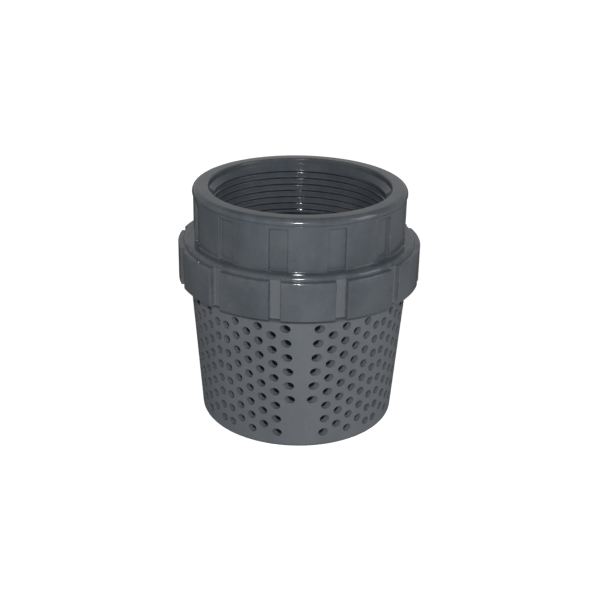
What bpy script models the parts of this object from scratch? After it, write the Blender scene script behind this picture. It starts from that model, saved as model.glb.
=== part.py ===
"""Foot valve for a 2 inch suction pipe.

A moulded PVC-U housing with a female G2 thread stands on a tapered strainer basket. Between the two a seat
carrier with a three-arm spider is clamped, and a spring-loaded poppet lifts off its seat along the thread's axis.
The origin is the middle of the basket's flat bottom, and +Z is the thread's axis.
"""
import math

import bmesh
import bpy
from mathutils import Matrix, Vector

MM = 0.001
GAP = 0.3 * MM  # between solids that touch on the real valve

# Housing, outside
HEIGHT = 80.0 * MM
RIM_R = 35.3 * MM
RIM_BAND = 3.0 * MM
RIM_ROUND = 1.8 * MM
SOCKET_R = 35.0 * MM
RING_R = 40.2 * MM
RING_BOTTOM = 48.6 * MM
RING_TOP = 62.8 * MM
RING_ROUND = 1.2 * MM
RING_BODY_R = 38.5 * MM
PAD_TOP = 61.4 * MM  # the ring's twelve raised pads stop short of its top
PAD_ROUND = 0.4 * MM
FLUTES = 12
FLUTE_PHASE = -10.5  # degrees from the front (-Y) to the nearest flute, positive towards +X
SOCKET_FLUTE_W = 6.0 * MM
SOCKET_FLUTE_DEPTH = 1.0 * MM
RING_FLUTE_W = 3.8 * MM
RING_FLUTE_DEPTH = 2.0 * MM
TURN_STEPS = 36

# Housing, inside: G2 thread, 11 turns to the inch, 55 degree flanks
PITCH = 25.4 / 11 * MM
THREAD_CREST_R = 28.33 * MM
THREAD_ROOT_R = 29.81 * MM
THREAD_ROOT_FLAT = 0.37 * MM
FLANK_ANGLE = math.radians(27.5)
THREAD_TOP_BACK = 74.9 * MM  # middle of the first groove at the back (+Y)
THREAD_START = 270.0  # degrees from +X to the groove's blunt start, at the front
LEAD_IN_R = 30.0 * MM
LEAD_IN_DEPTH = 2.0 * MM
CHAMBER_R = 32.0 * MM
CHAMBER_TOP = 57.8 * MM
SHOULDER_Z = 55.5 * MM
SKIRT_BORE_R = 36.0 * MM

# Strainer basket
BASKET_TOP_R = 36.4 * MM
BASKET_FOOT_R = 32.9 * MM
BASKET_WALL = 3.1 * MM
BASKET_FLOOR = 2.5 * MM
BASKET_ROUND = 2.0 * MM
PLUG_R = 35.7 * MM
BEAD_R = 36.15 * MM
BEAD_Z = 50.4 * MM
SEAM_TURN = 2.4  # degrees that the basket's seams are turned from the front, towards +X
HOLE_R = 1.4 * MM
HOLE_SIDES = 5
HOLE_COLUMNS = 12
HOLE_COLUMN_STEP = 3.88 * MM
HOLE_ROWS = 8
HOLE_SEAM_ROWS = 6
HOLE_ROW_STEP = 5.15 * MM
HOLE_TOP = 44.3 * MM
HOLE_BACK_RISE = 1.2 * MM  # the back half's rows are higher than the front half's
FLOOR_HOLE_RINGS = ((9.0 * MM, 6), (18.0 * MM, 12))

# Seat carrier
FLANGE_R = PLUG_R
FLANGE_TOP = SHOULDER_Z - GAP
FLANGE_BOTTOM = 52.4 * MM
SEAT_BORE_R = 19.5 * MM
SEAT_TUBE_R = 22.0 * MM
SEAT_LIP_R = 20.9 * MM
SEAT_TOP = 56.2 * MM
SEAT_TUBE_BOTTOM = 46.6 * MM
O_RING_R = 33.6 * MM
O_RING_WIRE = 0.85 * MM
GLAND_DEPTH = 2.0 * MM
HUB_R = 6.2 * MM
HUB_BORE_R = 4.8 * MM
HUB_TOP = 51.4 * MM
HUB_BOTTOM = 36.5 * MM
ARMS = 3
ARM_W = 3.0 * MM
ARM_BOTTOM = 46.9 * MM
ARM_TOP = 51.2 * MM

# Guide bush
BUSH_R = HUB_BORE_R - GAP
BUSH_BORE_R = 3.3 * MM
BUSH_FLANGE_R = 5.8 * MM
BUSH_FLANGE = 0.8 * MM

# Poppet, shut: the rubber seal lands on the seat
STEM_R = 3.0 * MM
STEM_TOP = 67.3 * MM
STEM_BOTTOM = 8.3 * MM
COLLAR_R = 4.5 * MM
COLLAR_H = 1.2 * MM
STEM_CLEAR = 0.3 * MM
PLATE_R = 17.5 * MM
PLATE_H = 1.5 * MM
SEAL_R = 22.6 * MM
SEAL_H = 2.0 * MM
DISC_R = 23.0 * MM
DISC_H = 2.5 * MM
DISC_HUB_R = 8.0 * MM
DISC_LIP = 0.9 * MM
WASHER_R = 6.2 * MM
WASHER_H = 1.0 * MM
NUT_ACROSS_FLATS = 10.0 * MM
NUT_H = 3.2 * MM
CUP_R = 7.6 * MM
CUP_H = 1.5 * MM
CUP_LIP = 1.4 * MM
CUP_TOP = 18.0 * MM
SLEEVE_R = 4.2 * MM
LIFT = 9.0 * MM  # the cup's sleeve then meets the bush

# Return spring, between the hub and the cup
WIRE_R = 0.4 * MM
COIL_R = 5.3 * MM
COIL_TURNS = 6.5
COIL_POINTS = 10
FLAT_TURNS = 0.75


def empty_scene():
    for obj in list(bpy.data.objects):
        bpy.data.objects.remove(obj)


def new_collection(name):
    found = bpy.data.collections.new(name)
    bpy.context.scene.collection.children.link(found)
    return found


empty_scene()
VALVE = new_collection("foot_valve")
CUTTERS = new_collection("cutters")


def material(name, colour, roughness, metallic=0.0):
    made = bpy.data.materials.new(name)
    made.use_nodes = True
    shader = made.node_tree.nodes["Principled BSDF"]
    shader.inputs["Base Color"].default_value = (*colour, 1.0)
    shader.inputs["Roughness"].default_value = roughness
    shader.inputs["Metallic"].default_value = metallic
    return made


HOUSING_PVC = material("housing_pvc", (0.075, 0.085, 0.097), 0.32)
BASKET_PVC = material("basket_pvc", (0.12, 0.13, 0.145), 0.5)
CARRIER_PVC = material("carrier_pvc", (0.09, 0.1, 0.115), 0.38)
DISC_PVC = material("disc_pvc", (0.085, 0.095, 0.11), 0.36)
EPDM = material("epdm", (0.012, 0.012, 0.013), 0.6)
ACETAL = material("acetal", (0.72, 0.71, 0.67), 0.4)
STAINLESS = material("stainless", (0.56, 0.56, 0.55), 0.3, 1.0)


def in_valve(obj, surface):
    VALVE.objects.link(obj)
    obj.data.materials.append(surface)
    smooth(obj.data)
    return obj


def smooth(mesh):
    if isinstance(mesh, bpy.types.Mesh) and mesh.polygons:
        mesh.shade_smooth()
        mesh.set_sharp_from_angle(angle=math.radians(35))


def as_cutter(obj):
    CUTTERS.objects.link(obj)
    obj.hide_render = True
    obj.display_type = "WIRE"
    return obj


def arc(cx, cz, r, start, end, steps=3):
    """Points of an arc in the profile plane, from start to end in degrees."""
    angles = (math.radians(start + (end - start) * i / steps) for i in range(steps + 1))
    return [(cx + r * math.cos(a), cz + r * math.sin(a)) for a in angles]


def turned(name, profile, closed=True, steps=TURN_STEPS):
    """A profile of (radius, height) points, its outer side running down, turned about Z.

    A closed profile is a ring with a bore, and an open one starts and ends on the axis.
    """
    mesh = bpy.data.meshes.new(name)
    count = len(profile)
    edges = [(i, (i + 1) % count) for i in range(count if closed else count - 1)]
    mesh.from_pydata([(r, 0.0, z) for r, z in profile], edges, [])
    obj = bpy.data.objects.new(name, mesh)
    screw = obj.modifiers.new("turn", "SCREW")
    screw.axis = "Z"
    screw.steps = steps
    screw.render_steps = steps
    screw.use_merge_vertices = True
    screw.merge_threshold = 0.00001
    screw.use_smooth_shade = True
    return obj


def boolean(obj, tool, operation="DIFFERENCE"):
    modifier = obj.modifiers.new(tool.name, "BOOLEAN")
    modifier.operation = operation
    modifier.solver = "EXACT"
    modifier.object = tool
    return obj


def prism(mesh, r, length, place, sides, turn=0.0):
    """Adds a straight prism of the given radius to a bmesh, along the local Z of the matrix place."""
    bmesh.ops.create_cone(mesh, cap_ends=True, segments=sides, radius1=r, radius2=r, depth=length,
                          matrix=place @ Matrix.Rotation(turn, 4, "Z"))


def box(mesh, size, place):
    """Adds a box of the given size to a bmesh, about the origin of the matrix place."""
    bmesh.ops.create_cube(mesh, size=1.0, matrix=place @ Matrix.Diagonal((*size, 1.0)))


def from_bmesh(name, mesh):
    data = bpy.data.meshes.new(name)
    mesh.to_mesh(data)
    mesh.free()
    return bpy.data.objects.new(name, data)


def heading(degrees):
    """Rotation about Z that takes the front (-Y) to this many degrees towards +X."""
    return Matrix.Rotation(math.radians(degrees), 4, "Z")


# Housing


def housing_profile():
    bead = (BEAD_Z - 0.8 * MM, BEAD_Z + 0.8 * MM)
    outside = arc(RIM_R - RIM_ROUND, HEIGHT - RIM_ROUND, RIM_ROUND, 90, 0)
    outside += [(RIM_R, HEIGHT - RIM_BAND), (SOCKET_R, HEIGHT - RIM_BAND - 0.3 * MM), (SOCKET_R, RING_TOP)]
    outside += arc(RING_BODY_R - RING_ROUND, RING_TOP - RING_ROUND, RING_ROUND, 90, 0, 2)
    outside += [(RING_BODY_R, PAD_TOP), (RING_R - PAD_ROUND, PAD_TOP), (RING_R, PAD_TOP - PAD_ROUND)]
    outside += [(RING_R, RING_BOTTOM), (SKIRT_BORE_R, RING_BOTTOM)]
    inside = [(SKIRT_BORE_R, bead[0]), (BEAD_R + GAP, bead[0]), (BEAD_R + GAP, bead[1]), (SKIRT_BORE_R, bead[1])]
    inside += [(SKIRT_BORE_R, SHOULDER_Z), (CHAMBER_R, SHOULDER_Z), (CHAMBER_R, CHAMBER_TOP)]
    chamfer = LEAD_IN_R - THREAD_CREST_R
    inside += [(THREAD_CREST_R, CHAMBER_TOP + CHAMBER_R - THREAD_CREST_R)]
    inside += [(THREAD_CREST_R, HEIGHT - LEAD_IN_DEPTH - chamfer), (LEAD_IN_R, HEIGHT - LEAD_IN_DEPTH)]
    inside += [(LEAD_IN_R, HEIGHT - 0.5 * MM), (LEAD_IN_R + 0.5 * MM, HEIGHT)]
    return outside + inside


def flute_cutters(name, width, floor_r, z_low, z_high):
    mesh = bmesh.new()
    depth = 8.0 * MM
    for i in range(FLUTES):
        turn = heading(FLUTE_PHASE + 360.0 / FLUTES * i)
        middle = Matrix.Translation((0, -(floor_r + depth / 2), (z_low + z_high) / 2))
        box(mesh, (width, depth, z_high - z_low), turn @ middle)
    return as_cutter(from_bmesh(name, mesh))


def thread_cutter():
    """The helical groove as one swept solid: its section is spun about Z and rises one pitch a turn."""
    half_root = THREAD_ROOT_FLAT / 2
    half_mouth = half_root + (THREAD_ROOT_R - THREAD_CREST_R) * math.tan(FLANK_ANGLE)
    inner_r = THREAD_CREST_R - 0.8 * MM
    section = [(THREAD_ROOT_R, half_root), (THREAD_ROOT_R, -half_root), (THREAD_CREST_R, -half_mouth),
               (inner_r, -half_mouth), (inner_r, half_mouth), (THREAD_CREST_R, half_mouth)]
    start_z = THREAD_TOP_BACK + PITCH * (THREAD_START - 90.0) / 360.0
    steps = math.ceil((start_z - CHAMBER_TOP + PITCH / 2) / PITCH * TURN_STEPS)
    start = Matrix.Rotation(math.radians(THREAD_START), 4, "Z")
    mesh = bmesh.new()
    corners = [mesh.verts.new(start @ Vector((r, 0, start_z + z))) for r, z in section]
    first = mesh.faces.new(corners)
    bmesh.ops.spin(mesh, geom=[first, *first.edges, *first.verts], cent=(0, 0, 0), axis=(0, 0, 1),
                   dvec=(0, 0, -PITCH / TURN_STEPS), angle=-2 * math.pi * steps / TURN_STEPS, steps=steps,
                   use_merge=False, use_duplicate=False)
    bmesh.ops.recalc_face_normals(mesh, faces=mesh.faces)
    return as_cutter(from_bmesh("thread_groove", mesh))


def make_housing():
    housing = turned("housing", housing_profile())
    socket_top = HEIGHT - RIM_BAND - 0.5 * MM
    boolean(housing, flute_cutters("socket_flutes", SOCKET_FLUTE_W, SOCKET_R - SOCKET_FLUTE_DEPTH,
                                   RING_TOP, socket_top))
    boolean(housing, flute_cutters("ring_flutes", RING_FLUTE_W, RING_R - RING_FLUTE_DEPTH,
                                   RING_BOTTOM - 1 * MM, RING_TOP + 1 * MM))
    boolean(housing, thread_cutter())
    return in_valve(housing, HOUSING_PVC)


# Strainer basket


def basket_r(z):
    """Outer radius of the basket's tapered wall."""
    part = (z - BASKET_ROUND) / (RING_BOTTOM - GAP - BASKET_ROUND)
    return BASKET_FOOT_R + (BASKET_TOP_R - BASKET_FOOT_R) * part


def basket_profile():
    shoulder = RING_BOTTOM - GAP
    top = FLANGE_BOTTOM - GAP
    bore = basket_r(shoulder) - BASKET_WALL
    inner_foot = basket_r(BASKET_ROUND) - BASKET_WALL
    inside = [(0, BASKET_FLOOR), (inner_foot - 1.0 * MM, BASKET_FLOOR)]
    inside += [(inner_foot, BASKET_FLOOR + 1.0 * MM), (bore, shoulder - 1.0 * MM), (PLUG_R - BASKET_WALL, top)]
    plug = [(PLUG_R - 0.3 * MM, top), (PLUG_R, top - 0.3 * MM), (PLUG_R, BEAD_Z + 0.6 * MM)]
    plug += [(BEAD_R, BEAD_Z + 0.2 * MM), (BEAD_R, BEAD_Z - 0.2 * MM), (PLUG_R, BEAD_Z - 0.6 * MM)]
    outside = [(PLUG_R, shoulder), (basket_r(shoulder), shoulder)]
    outside += arc(BASKET_FOOT_R - BASKET_ROUND, BASKET_ROUND, BASKET_ROUND, 0, -90)
    return inside + plug + outside + [(0, 0)]


def wall_holes(quadrants):
    """The strainer holes of these quadrants, each cut along its own quadrant's direction."""
    mesh = bmesh.new()
    for quadrant in quadrants:
        turn = heading(SEAM_TURN + 45.0 + 90.0 * quadrant)
        for column in range(HOLE_COLUMNS):
            from_seam = min(column, HOLE_COLUMNS - 1 - column)
            rows = HOLE_SEAM_ROWS if from_seam == 0 else HOLE_ROWS
            x = (column - (HOLE_COLUMNS - 1) / 2) * HOLE_COLUMN_STEP
            drop = HOLE_ROW_STEP / 2 if from_seam % 2 else 0.0
            top = HOLE_TOP - drop + (HOLE_BACK_RISE if quadrant in (1, 2) else 0.0)
            for row in range(rows):
                z = top - HOLE_ROW_STEP * row
                y = math.sqrt(basket_r(z) ** 2 - x ** 2)
                outwards = Matrix.Translation((x, -y + 1.5 * MM, z)) @ Matrix.Rotation(math.pi / 2, 4, "X")
                prism(mesh, HOLE_R, 9.0 * MM, turn @ outwards, HOLE_SIDES, math.pi / 2)
    return as_cutter(from_bmesh("wall_holes_%d_%d" % quadrants, mesh))


def floor_holes():
    mesh = bmesh.new()
    for radius, count in FLOOR_HOLE_RINGS:
        for i in range(count):
            place = heading(360.0 / count * i) @ Matrix.Translation((0, -radius, BASKET_FLOOR / 2))
            prism(mesh, HOLE_R, 3 * BASKET_FLOOR, place, HOLE_SIDES)
    return as_cutter(from_bmesh("floor_holes", mesh))


def make_basket():
    basket = turned("strainer_basket", basket_profile(), closed=False)
    boolean(basket, wall_holes((0, 2)))
    boolean(basket, wall_holes((1, 3)))
    boolean(basket, floor_holes())
    return in_valve(basket, BASKET_PVC)


# Seat carrier and what is fixed to it


def carrier_profile():
    gland = (O_RING_R - 1.2 * MM, O_RING_R + 1.2 * MM)
    gland_floor = FLANGE_TOP - GLAND_DEPTH
    lip = [(SEAT_LIP_R, SEAT_TOP), (SEAT_TUBE_R, FLANGE_TOP)]
    flange = [(gland[0], FLANGE_TOP), (gland[0], gland_floor), (gland[1], gland_floor), (gland[1], FLANGE_TOP)]
    rim = [(FLANGE_R, FLANGE_TOP), (FLANGE_R, FLANGE_BOTTOM), (SEAT_TUBE_R, FLANGE_BOTTOM)]
    tube = [(SEAT_TUBE_R, SEAT_TUBE_BOTTOM), (SEAT_BORE_R, SEAT_TUBE_BOTTOM), (SEAT_BORE_R, SEAT_TOP)]
    return lip + flange + rim + tube


def make_carrier():
    carrier = turned("seat_carrier", carrier_profile())
    hub = turned("hub", [(HUB_R, HUB_TOP), (HUB_R, HUB_BOTTOM), (HUB_BORE_R, HUB_BOTTOM), (HUB_BORE_R, HUB_TOP)])
    inner = (HUB_R + HUB_BORE_R) / 2
    outer = (SEAT_BORE_R + SEAT_TUBE_R) / 2
    arms = bmesh.new()
    for i in range(ARMS):
        middle = Matrix.Translation((0, -(inner + outer) / 2, (ARM_TOP + ARM_BOTTOM) / 2))
        box(arms, (ARM_W, outer - inner, ARM_TOP - ARM_BOTTOM), heading(360.0 / ARMS * i) @ middle)
    boolean(carrier, as_cutter(from_bmesh("arms", arms)), "UNION")
    boolean(carrier, as_cutter(hub), "UNION")
    return in_valve(carrier, CARRIER_PVC)


def make_o_ring():
    middle = SHOULDER_Z - GAP - O_RING_WIRE
    bpy.ops.mesh.primitive_torus_add(major_radius=O_RING_R, minor_radius=O_RING_WIRE, major_segments=TURN_STEPS,
                                     minor_segments=8, location=(0, 0, middle))
    ring = bpy.context.object
    ring.name = "carrier_o_ring"
    for owner in list(ring.users_collection):
        owner.objects.unlink(ring)
    return in_valve(ring, EPDM)


def make_bush():
    flange_low = HUB_TOP + GAP
    flange_top = flange_low + BUSH_FLANGE
    profile = [(BUSH_FLANGE_R, flange_top), (BUSH_FLANGE_R, flange_low), (BUSH_R, flange_low),
               (BUSH_R, HUB_BOTTOM + GAP), (BUSH_BORE_R, HUB_BOTTOM + GAP), (BUSH_BORE_R, flange_top)]
    return in_valve(turned("guide_bush", profile, steps=24), ACETAL)


# Poppet


SEAL_LOW = SEAT_TOP + GAP
DISC_LOW = SEAL_LOW + SEAL_H + GAP
WASHER_LOW = DISC_LOW + DISC_H + GAP
TOP_NUT_LOW = WASHER_LOW + WASHER_H + GAP
PLATE_LOW = SEAL_LOW - GAP - PLATE_H
COLLAR_LOW = PLATE_LOW - GAP - COLLAR_H
CUP_LOW = CUP_TOP - CUP_H
STEM_NUT_LOW = CUP_LOW - GAP - NUT_H
LOCK_NUT_LOW = STEM_NUT_LOW - GAP - NUT_H
BORE_R = STEM_R + STEM_CLEAR


def ring(name, r, low, height, surface, chamfer=0.3 * MM, steps=TURN_STEPS):
    """A plain turned ring with a small chamfer round its outer edges."""
    top = low + height
    profile = [(r - chamfer, top), (r, top - chamfer), (r, low + chamfer), (r - chamfer, low), (BORE_R, low),
               (BORE_R, top)]
    return in_valve(turned(name, profile, steps=steps), surface)


def make_stem():
    collar_top = COLLAR_LOW + COLLAR_H
    tip = 0.6 * MM
    profile = [(0, STEM_TOP), (STEM_R - tip, STEM_TOP), (STEM_R, STEM_TOP - tip), (STEM_R, collar_top),
               (COLLAR_R, collar_top), (COLLAR_R, COLLAR_LOW), (STEM_R, COLLAR_LOW), (STEM_R, STEM_BOTTOM + tip),
               (STEM_R - tip, STEM_BOTTOM), (0, STEM_BOTTOM)]
    return in_valve(turned("valve_stem", profile, closed=False, steps=24), STAINLESS)


def make_disc():
    top = DISC_LOW + DISC_H
    thin = DISC_H - DISC_LIP
    profile = [(DISC_HUB_R, top), (DISC_HUB_R, DISC_LOW + thin), (DISC_R - 2.0 * MM, DISC_LOW + thin),
               (DISC_R - 1.6 * MM, top), (DISC_R - 0.3 * MM, top), (DISC_R, top - 0.3 * MM), (DISC_R, DISC_LOW),
               (BORE_R, DISC_LOW), (BORE_R, top)]
    return in_valve(turned("valve_disc", profile), DISC_PVC)


def make_cup():
    """The spring's lower seat: a raised lip round the coil, and a sleeve inside it that stops the lift."""
    sleeve_top = HUB_BOTTOM - LIFT
    profile = [(CUP_R, CUP_TOP + CUP_LIP), (CUP_R, CUP_LOW), (BORE_R, CUP_LOW), (BORE_R, sleeve_top),
               (SLEEVE_R, sleeve_top), (SLEEVE_R, CUP_TOP), (CUP_R - 0.9 * MM, CUP_TOP),
               (CUP_R - 0.9 * MM, CUP_TOP + CUP_LIP)]
    return in_valve(turned("spring_cup", profile, steps=24), STAINLESS)


def make_nut(name, low):
    """A hexagon nut, its corners trimmed to a cone at both ends."""
    corner_r = NUT_ACROSS_FLATS / 2 / math.cos(math.pi / 6)
    trim = 0.5 * MM
    top = low + NUT_H
    mesh = bmesh.new()
    prism(mesh, corner_r, NUT_H, Matrix.Translation((0, 0, low + NUT_H / 2)), 6)
    nut = from_bmesh(name, mesh)
    wide = corner_r + trim
    limit = turned(name + "_trim", [(0, top + trim), (corner_r - 2 * trim, top + trim), (wide, top - trim),
                                    (wide, low + trim), (corner_r - 2 * trim, low - trim), (0, low - trim)],
                   closed=False, steps=24)
    boolean(nut, as_cutter(limit), "INTERSECT")
    bore = bmesh.new()
    prism(bore, BORE_R, 2 * NUT_H, Matrix.Translation((0, 0, low + NUT_H / 2)), 24)
    boolean(nut, as_cutter(from_bmesh(name + "_bore", bore)))
    return in_valve(nut, STAINLESS)


# Return spring


def spring_heights(low, high):
    """The wire's middle height at each point: flat end turns, and an even rise between them."""
    count = int(COIL_TURNS * COIL_POINTS)
    flat = FLAT_TURNS * COIL_POINTS
    for i in range(count + 1):
        part = min(max((i - flat) / (count - 2 * flat), 0.0), 1.0)
        yield low + (high - low) * part


def make_spring():
    low = CUP_TOP + GAP + WIRE_R
    high = HUB_BOTTOM - GAP - WIRE_R
    curve = bpy.data.curves.new("return_spring", "CURVE")
    curve.dimensions = "3D"
    curve.bevel_depth = WIRE_R
    curve.bevel_resolution = 2
    curve.use_fill_caps = True
    heights = list(spring_heights(low, high))
    spline = curve.splines.new("POLY")
    spline.points.add(len(heights) - 1)
    for i, z in enumerate(heights):
        angle = 2 * math.pi * i / COIL_POINTS
        spline.points[i].co = (COIL_R * math.cos(angle), COIL_R * math.sin(angle), z, 1.0)
    return in_valve(bpy.data.objects.new("return_spring", curve), STAINLESS)


make_housing()
make_basket()
make_carrier()
make_o_ring()
make_bush()
make_stem()
make_disc()
ring("disc_seal", SEAL_R, SEAL_LOW, SEAL_H, EPDM)
ring("seal_clamp_plate", PLATE_R, PLATE_LOW, PLATE_H, STAINLESS)
ring("top_washer", WASHER_R, WASHER_LOW, WASHER_H, STAINLESS, chamfer=0.15 * MM, steps=24)
make_nut("top_nut", TOP_NUT_LOW)
make_cup()
make_nut("stem_nut", STEM_NUT_LOW)
make_nut("stem_lock_nut", LOCK_NUT_LOW)
make_spring()
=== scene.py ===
"""Looks of the foot valve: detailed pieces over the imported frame, with studio light and the camera.

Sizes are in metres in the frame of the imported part: +Z is the thread's axis, the origin is the middle of the
basket's flat bottom, and -Y is the front. A heading is an angle in degrees from the front towards +X.
"""

import math

import bmesh
import bpy
import numpy as np
from mathutils import Matrix, Vector


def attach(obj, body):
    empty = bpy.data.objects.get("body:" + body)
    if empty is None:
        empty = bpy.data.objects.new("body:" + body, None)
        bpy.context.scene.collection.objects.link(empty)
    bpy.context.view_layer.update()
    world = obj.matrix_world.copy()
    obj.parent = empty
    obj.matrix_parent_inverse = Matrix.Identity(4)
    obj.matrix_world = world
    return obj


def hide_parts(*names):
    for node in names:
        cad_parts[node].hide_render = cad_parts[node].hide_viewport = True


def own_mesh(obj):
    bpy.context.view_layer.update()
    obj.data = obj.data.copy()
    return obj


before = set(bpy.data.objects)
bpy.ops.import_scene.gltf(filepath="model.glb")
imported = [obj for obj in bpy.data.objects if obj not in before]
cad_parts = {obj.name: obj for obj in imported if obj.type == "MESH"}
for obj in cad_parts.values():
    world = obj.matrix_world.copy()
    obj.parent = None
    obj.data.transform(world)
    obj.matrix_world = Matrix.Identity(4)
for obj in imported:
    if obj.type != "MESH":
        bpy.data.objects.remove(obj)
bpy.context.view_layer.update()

MM = 0.001
GAP = 0.3 * MM  # between pieces that touch on the real valve
BODY = "body"
POPPET = "poppet"

# Housing, outside
HEIGHT = 80.0 * MM
RIM_R = 35.3 * MM
RIM_BAND = 3.0 * MM
RIM_ROUND = 1.8 * MM
RIM_GROOVE_Z = 77.75 * MM
SOCKET_R = 35.0 * MM
RING_R = 40.2 * MM
RING_BOTTOM = 48.6 * MM
RING_TOP = 62.8 * MM
RING_ROUND = 1.2 * MM
RING_BODY_R = 38.5 * MM
PAD_TOP = 61.4 * MM  # the ring's twelve raised pads stop short of its top
FLUTES = 12
FLUTE_PHASE = -10.5  # heading of the flute nearest the front
SOCKET_FLUTE_W = 6.0 * MM
SOCKET_FLUTE_DEPTH = 1.0 * MM
SOCKET_FLUTE_TOP = HEIGHT - RIM_BAND - 0.5 * MM
RING_FLUTE_W = 3.8 * MM
RING_FLUTE_DEPTH = 2.0 * MM

# Housing, inside: G2 thread, 11 turns to the inch, 55 degree flanks
PITCH = 25.4 / 11 * MM
THREAD_CREST_R = 28.33 * MM
THREAD_ROOT_R = 29.81 * MM
THREAD_ROOT_FLAT = 0.37 * MM
FLANK_ANGLE = math.radians(27.5)
THREAD_TOP_BACK = 74.9 * MM  # middle of the first groove at the back
LEAD_IN_R = 30.0 * MM
LEAD_IN_DEPTH = 2.0 * MM
LEAD_IN_TOP = HEIGHT - LEAD_IN_DEPTH  # of the cone below the lead-in, which slopes at 45 degrees
LEAD_IN_FOOT = LEAD_IN_TOP - (LEAD_IN_R - THREAD_CREST_R)
CHAMBER_R = 32.0 * MM
CHAMBER_TOP = 57.8 * MM
SHOULDER_Z = 55.5 * MM
SKIRT_BORE_R = 36.0 * MM

# Strainer basket
BASKET_TOP_R = 36.4 * MM
BASKET_FOOT_R = 32.9 * MM
BASKET_WALL = 3.1 * MM
BASKET_FLOOR = 2.5 * MM
BASKET_ROUND = 2.0 * MM
PLUG_R = 35.7 * MM
BEAD_R = 36.15 * MM
BEAD_Z = 50.4 * MM
SEAM_TURN = 2.4
HOLE_R = 1.4 * MM
HOLE_COLUMNS = 12
HOLE_COLUMN_STEP = 3.88 * MM
HOLE_ROWS = 8
HOLE_SEAM_ROWS = 6
HOLE_ROW_STEP = 5.15 * MM
HOLE_TOP = 44.3 * MM
HOLE_BACK_RISE = 1.2 * MM  # the back half's rows are higher than the front half's
FLOOR_HOLE_RINGS = ((9.0 * MM, 6), (18.0 * MM, 12))

# Seat carrier and what is fixed to it
FLANGE_TOP = SHOULDER_Z - GAP
FLANGE_BOTTOM = 52.4 * MM
SEAT_BORE_R = 19.5 * MM
SEAT_TUBE_R = 22.0 * MM
SEAT_LIP_R = 20.9 * MM
SEAT_TOP = 56.2 * MM
SEAT_TUBE_BOTTOM = 46.6 * MM
O_RING_R = 33.6 * MM
O_RING_WIRE = 0.85 * MM
GLAND_DEPTH = 2.0 * MM
HUB_R = 6.2 * MM
HUB_BORE_R = 4.8 * MM
HUB_TOP = 51.4 * MM
HUB_BOTTOM = 36.5 * MM
ARMS = 3
ARM_W = 3.0 * MM
ARM_BOTTOM = 46.9 * MM
ARM_TOP = 51.2 * MM
BUSH_R = HUB_BORE_R - GAP
BUSH_BORE_R = 3.3 * MM
BUSH_FLANGE_R = 5.8 * MM
BUSH_FLANGE = 0.8 * MM

# Poppet, shut
STEM_R = 3.0 * MM
STEM_TOP = 67.3 * MM
STEM_BOTTOM = 8.3 * MM
STEM_PITCH = 1.0 * MM
COLLAR_R = 4.5 * MM
COLLAR_H = 1.2 * MM
STEM_PLAIN = 5.6 * MM  # above the collar, below the upper thread
BORE_R = 3.3 * MM
PLATE_R = 17.5 * MM
PLATE_H = 1.5 * MM
SEAL_R = 22.6 * MM
SEAL_H = 2.0 * MM
DISC_R = 23.0 * MM
DISC_H = 2.5 * MM
DISC_HUB_R = 8.0 * MM
DISC_LIP = 0.9 * MM
DISC_RIBS = 6
WASHER_R = 6.2 * MM
WASHER_H = 1.0 * MM
NUT_ACROSS_FLATS = 10.0 * MM
NUT_H = 3.2 * MM
CUP_R = 7.6 * MM
CUP_H = 1.5 * MM
CUP_LIP = 1.4 * MM
CUP_TOP = 18.0 * MM
SLEEVE_R = 4.2 * MM
LIFT = 9.0 * MM

# Return spring
WIRE_R = 0.4 * MM
COIL_R = 5.3 * MM
COIL_TURNS = 6.5
FLAT_TURNS = 0.75

# Camera
SENSOR_MM = 36.0
ELEVATION = math.radians(23.312)
DISTANCE = 0.37596
LENS = 66.12
ROLL = math.radians(1.064)
AIM = Vector((0.0006, 0.0, 0.0387))

# Studio
MIDDLE = Vector((0, 0, HEIGHT / 2))  # of the object
BACKDROP_R = 2.6
BACKDROP_H = 1.8
BACKDROP_CURVE = 0.9
FLOOR_GLOW = 0.8
FLASH_ABOVE_LENS = 0.038
# Each side of the sky: axis, way along it, light from below the horizon, light from above it
SKY_SIDES = (("Y", -1, 0.54, 0.2), ("X", 1, 0.42, 0.2), ("Y", 1, 0.04, 0.49), ("X", -1, 0.28, 0.43))

# Painted shade and shadow: its colour, and where it starts to thin out, and where it ends
PAINTED_SHADE_COLOUR = (0.012, 0.013, 0.015)
PAINTED_SHADE_IN_BORE = (1.25 * MM, 1.45 * MM)  # into the basket's wall from its bore
PAINTED_SHADOW_UNDER_RING = (1.7 * MM, 2.5 * MM)  # down the basket from the ring


# Profiles


def rounded(corners, closed=True, steps=4):
    """A profile of (radius, height) points from corners (radius, height, fillet radius)."""
    count = len(corners)
    points = []
    for i, (r, z, fillet) in enumerate(corners):
        here = Vector((r, z))
        if not fillet or (not closed and i in (0, count - 1)):
            points.append((r, z))
            continue
        back = (Vector(corners[i - 1][:2]) - here).normalized()
        on = (Vector(corners[(i + 1) % count][:2]) - here).normalized()
        half = back.angle(on) / 2
        middle = here + (back + on).normalized() * fillet / math.sin(half)
        first = here + back * fillet / math.tan(half) - middle
        last = here + on * fillet / math.tan(half) - middle
        for j in range(steps + 1):
            spoke = first.lerp(last, j / steps)
            points.append(tuple(middle + spoke.normalized() * fillet))
    return points


def spaced(points, longest):
    """The profile with its long straight runs divided."""
    out = [points[0]]
    for before, after in zip(points, points[1:]):
        parts = max(1, math.ceil(math.dist(before, after) / longest))
        out += [tuple(Vector(before).lerp(Vector(after), k / parts)) for k in range(1, parts + 1)]
    return out


def recess(depth, mouth_round, foot_round):
    """(distance inside the mouth, depth) along the side of a moulded recess with a little draft."""
    corners = [(-1.0 * MM, 0, 0), (0, 0, mouth_round), (0.12 * MM, depth, foot_round), (1.5 * MM, depth, 0)]
    return np.array(rounded(corners, closed=False, steps=5))


# Meshes


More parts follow.
